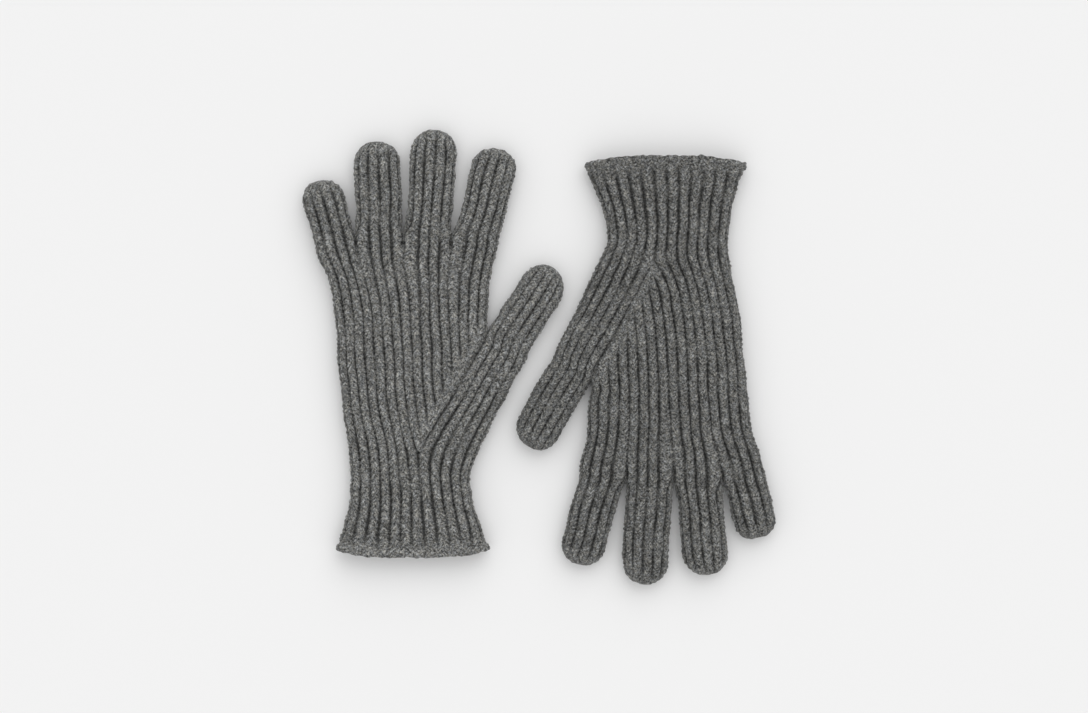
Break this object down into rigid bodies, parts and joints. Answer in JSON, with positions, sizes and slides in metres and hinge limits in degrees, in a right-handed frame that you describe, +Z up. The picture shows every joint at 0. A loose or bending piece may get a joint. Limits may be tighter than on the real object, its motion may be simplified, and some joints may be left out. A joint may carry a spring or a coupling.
{
  "type": "pair of knitted gloves",
  "caption": "Pair of plain rib-knit wool gloves lying flat, one palm up and one back up, with flared rib cuffs, thumb gussets and hollow finger stalls that fold.",
  "frame": {"origin": "middle of the pair's box at the level of the table", "axes": "+Z up from the table, +X from the right glove to the left glove, +Y from the right glove's cuff towards its fingertips"},
  "size_m": [0.276, 0.2664, 0.012],
  "materials": {
    "rib_knit": "heather grey wool in a thick 1x1 rib, matt and slightly hairy",
    "hem_knit": "heather grey wool in a plain tubular edge, matt and slightly hairy"
  },
  "bodies": {
    "right_hand": {"right_hand": "rib_knit", "right_thumb_gusset": "rib_knit"},
    "right_cuff": {"right_cuff": "rib_knit", "right_hem": "hem_knit"},
    "right_little_root": {"right_little_root": "rib_knit"},
    "right_little_tip": {"right_little_tip": "rib_knit"},
    "right_ring_root": {"right_ring_root": "rib_knit"},
    "right_ring_tip": {"right_ring_tip": "rib_knit"},
    "right_middle_root": {"right_middle_root": "rib_knit"},
    "right_middle_tip": {"right_middle_tip": "rib_knit"},
    "right_index_root": {"right_index_root": "rib_knit"},
    "right_index_tip": {"right_index_tip": "rib_knit"},
    "right_thumb_root": {"right_thumb_root": "rib_knit"},
    "right_thumb_tip": {"right_thumb_tip": "rib_knit"},
    "left_hand": {"left_hand": "rib_knit", "left_thumb_gusset": "rib_knit"},
    "left_cuff": {"left_cuff": "rib_knit", "left_hem": "hem_knit"},
    "left_little_root": {"left_little_root": "rib_knit"},
    "left_little_tip": {"left_little_tip": "rib_knit"},
    "left_ring_root": {"left_ring_root": "rib_knit"},
    "left_ring_tip": {"left_ring_tip": "rib_knit"},
    "left_middle_root": {"left_middle_root": "rib_knit"},
    "left_middle_tip": {"left_middle_tip": "rib_knit"},
    "left_index_root": {"left_index_root": "rib_knit"},
    "left_index_tip": {"left_index_tip": "rib_knit"},
    "left_thumb_root": {"left_thumb_root": "rib_knit"},
    "left_thumb_tip": {"left_thumb_tip": "rib_knit"}
  },
  "joints": [
    {"name": "right_cuff_fold", "type": "hinge", "parent": "right_hand", "child": "right_cuff", "pos_m": [-0.0747, -0.06717, 0.012], "axis": [-1, 0, 0], "range_deg": [0, 90]},
    {"name": "right_little_root_fold", "type": "hinge", "parent": "right_hand", "child": "right_little_root", "pos_m": [-0.12209, 0.07583, 0.012], "axis": [1, 0, 0], "range_deg": [0, 90]},
    {"name": "right_little_knuckle_fold", "type": "hinge", "parent": "right_little_root", "child": "right_little_tip", "pos_m": [-0.12589, 0.08973, 0.012], "axis": [1, 0, 0], "range_deg": [0, 90]},
    {"name": "right_ring_root_fold", "type": "hinge", "parent": "right_hand", "child": "right_ring_root", "pos_m": [-0.09426, 0.07583, 0.012], "axis": [1, 0, 0], "range_deg": [0, 90]},
    {"name": "right_ring_knuckle_fold", "type": "hinge", "parent": "right_ring_root", "child": "right_ring_tip", "pos_m": [-0.09478, 0.10123, 0.012], "axis": [1, 0, 0], "range_deg": [0, 90]},
    {"name": "right_middle_root_fold", "type": "hinge", "parent": "right_hand", "child": "right_middle_root", "pos_m": [-0.06511, 0.07583, 0.012], "axis": [1, 0, 0], "range_deg": [0, 90]},
    {"name": "right_middle_knuckle_fold", "type": "hinge", "parent": "right_middle_root", "child": "right_middle_tip", "pos_m": [-0.06301, 0.10463, 0.012], "axis": [1, 0, 0], "range_deg": [0, 90]},
    {"name": "right_index_root_fold", "type": "hinge", "parent": "right_hand", "child": "right_index_root", "pos_m": [-0.03539, 0.07583, 0.012], "axis": [1, 0, 0], "range_deg": [0, 90]},
    {"name": "right_index_knuckle_fold", "type": "hinge", "parent": "right_index_root", "child": "right_index_tip", "pos_m": [-0.0296, 0.09898, 0.012], "axis": [1, 0, 0], "range_deg": [0, 90]},
    {"name": "right_thumb_root_fold", "type": "hinge", "parent": "right_hand", "child": "right_thumb_root", "pos_m": [-0.01345, 0.01697, 0.012], "axis": [0.8473, -0.5311, 0], "range_deg": [0, 90]},
    {"name": "right_thumb_knuckle_fold", "type": "hinge", "parent": "right_thumb_root", "child": "right_thumb_tip", "pos_m": [-0.00247, 0.03448, 0.012], "axis": [0.8473, -0.5311, 0], "range_deg": [0, 90]},
    {"name": "left_glove_lift", "type": "slide", "parent": "right_hand", "child": "left_hand", "axis": [0, 0, 1], "range_m": [0, 0.15]},
    {"name": "left_cuff_fold", "type": "hinge", "parent": "left_hand", "child": "left_cuff", "pos_m": [0.0743, 0.06753, 0.012], "axis": [1, 0, 0], "range_deg": [0, 90]},
    {"name": "left_little_root_fold", "type": "hinge", "parent": "left_hand", "child": "left_little_root", "pos_m": [0.12168, -0.07547, 0.012], "axis": [-1, 0, 0], "range_deg": [0, 90]},
    {"name": "left_little_knuckle_fold", "type": "hinge", "parent": "left_little_root", "child": "left_little_tip", "pos_m": [0.12549, -0.09087, 0.012], "axis": [-1, 0, 0], "range_deg": [0, 90]},
    {"name": "left_ring_root_fold", "type": "hinge", "parent": "left_hand", "child": "left_ring_root", "pos_m": [0.09416, -0.07547, 0.012], "axis": [-1, 0, 0], "range_deg": [0, 90]},
    {"name": "left_ring_knuckle_fold", "type": "hinge", "parent": "left_ring_root", "child": "left_ring_tip", "pos_m": [0.09633, -0.10167, 0.012], "axis": [-1, 0, 0], "range_deg": [0, 90]},
    {"name": "left_middle_root_fold", "type": "hinge", "parent": "left_hand", "child": "left_middle_root", "pos_m": [0.06499, -0.07547, 0.012], "axis": [-1, 0, 0], "range_deg": [0, 90]},
    {"name": "left_middle_knuckle_fold", "type": "hinge", "parent": "left_middle_root", "child": "left_middle_tip", "pos_m": [0.06315, -0.10447, 0.012], "axis": [-1, 0, 0], "range_deg": [0, 90]},
    {"name": "left_index_root_fold", "type": "hinge", "parent": "left_hand", "child": "left_index_root", "pos_m": [0.03553, -0.07547, 0.012], "axis": [-1, 0, 0], "range_deg": [0, 90]},
    {"name": "left_index_knuckle_fold", "type": "hinge", "parent": "left_index_root", "child": "left_index_tip", "pos_m": [0.02927, -0.09857, 0.012], "axis": [-1, 0, 0], "range_deg": [0, 90]},
    {"name": "left_thumb_root_fold", "type": "hinge", "parent": "left_hand", "child": "left_thumb_root", "pos_m": [0.01488, -0.01512, 0.012], "axis": [-0.8646, 0.5024, 0], "range_deg": [0, 90]},
    {"name": "left_thumb_knuckle_fold", "type": "hinge", "parent": "left_thumb_root", "child": "left_thumb_tip", "pos_m": [0.00399, -0.03386, 0.012], "axis": [-0.8646, 0.5024, 0], "range_deg": [0, 90]}
  ],
  "couplings": [
    {"joint": "right_little_knuckle_fold", "follows": "right_little_root_fold", "ratio": 1},
    {"joint": "right_ring_knuckle_fold", "follows": "right_ring_root_fold", "ratio": 1},
    {"joint": "right_middle_knuckle_fold", "follows": "right_middle_root_fold", "ratio": 1},
    {"joint": "right_index_knuckle_fold", "follows": "right_index_root_fold", "ratio": 1},
    {"joint": "right_thumb_knuckle_fold", "follows": "right_thumb_root_fold", "ratio": 1},
    {"joint": "left_little_knuckle_fold", "follows": "left_little_root_fold", "ratio": 1},
    {"joint": "left_ring_knuckle_fold", "follows": "left_ring_root_fold", "ratio": 1},
    {"joint": "left_middle_knuckle_fold", "follows": "left_middle_root_fold", "ratio": 1},
    {"joint": "left_index_knuckle_fold", "follows": "left_index_root_fold", "ratio": 1},
    {"joint": "left_thumb_knuckle_fold", "follows": "left_thumb_root_fold", "ratio": 1}
  ]
}
